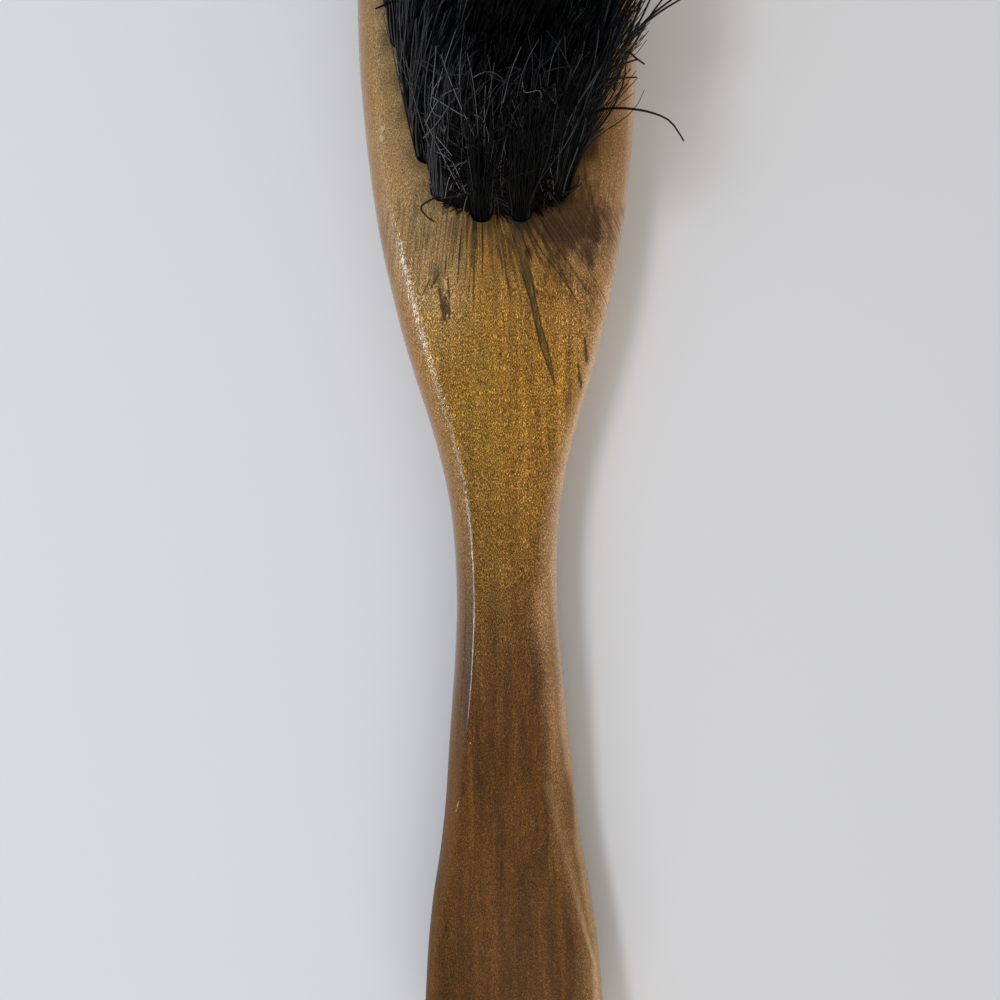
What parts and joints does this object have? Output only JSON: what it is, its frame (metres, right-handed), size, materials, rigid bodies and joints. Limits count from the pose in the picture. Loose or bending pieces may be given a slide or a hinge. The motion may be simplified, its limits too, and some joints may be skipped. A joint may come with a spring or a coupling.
{
  "type": "shoe brush",
  "caption": "Varnished wooden shoe brush with black hair tufts set in drilled holes and a waisted handle that ends in a shoehorn.",
  "frame": {"origin": "under the middle of the brush, on the flat back that it lies on", "axes": "+Y from the shoehorn's tip to the far end of the head, +Z out of the bristle side, +X across the brush"},
  "size_m": [0.0498, 0.2548, 0.039],
  "materials": {
    "varnished_wood": "glossy clear varnish over honey-brown wood, worn and stained by polish",
    "black_hair": "natural black hair with a soft sheen"
  },
  "bodies": {
    "root": {"wooden_body": "varnished_wood", "tuft_row01_1": "black_hair", "tuft_row01_2": "black_hair", "tuft_row01_3": "black_hair", "tuft_row01_4": "black_hair", "tuft_row02_1": "black_hair", "tuft_row02_2": "black_hair", "tuft_row02_3": "black_hair", "tuft_row02_4": "black_hair", "tuft_row02_5": "black_hair", "tuft_row03_1": "black_hair", "tuft_row03_2": "black_hair", "tuft_row03_3": "black_hair", "tuft_row03_4": "black_hair", "tuft_row03_5": "black_hair", "tuft_row04_1": "black_hair", "tuft_row04_2": "black_hair", "tuft_row04_3": "black_hair", "tuft_row04_4": "black_hair", "tuft_row04_5": "black_hair", "tuft_row04_6": "black_hair", "tuft_row05_1": "black_hair", "tuft_row05_2": "black_hair", "tuft_row05_3": "black_hair", "tuft_row05_4": "black_hair", "tuft_row05_5": "black_hair", "tuft_row05_6": "black_hair", "tuft_row06_1": "black_hair", "tuft_row06_2": "black_hair", "tuft_row06_3": "black_hair", "tuft_row06_4": "black_hair", "tuft_row06_5": "black_hair", "tuft_row06_6": "black_hair", "tuft_row07_1": "black_hair", "tuft_row07_2": "black_hair", "tuft_row07_3": "black_hair", "tuft_row07_4": "black_hair", "tuft_row07_5": "black_hair", "tuft_row07_6": "black_hair", "tuft_row08_1": "black_hair", "tuft_row08_2": "black_hair", "tuft_row08_3": "black_hair", "tuft_row08_4": "black_hair", "tuft_row08_5": "black_hair", "tuft_row08_6": "black_hair", "tuft_row09_1": "black_hair", "tuft_row09_2": "black_hair", "tuft_row09_3": "black_hair", "tuft_row09_4": "black_hair", "tuft_row09_5": "black_hair", "tuft_row10_1": "black_hair", "tuft_row10_2": "black_hair", "tuft_row10_3": "black_hair", "tuft_row10_4": "black_hair", "tuft_row10_5": "black_hair", "tuft_row11_1": "black_hair", "tuft_row11_2": "black_hair", "tuft_row11_3": "black_hair", "tuft_row11_4": "black_hair"}
  },
  "joints": []
}
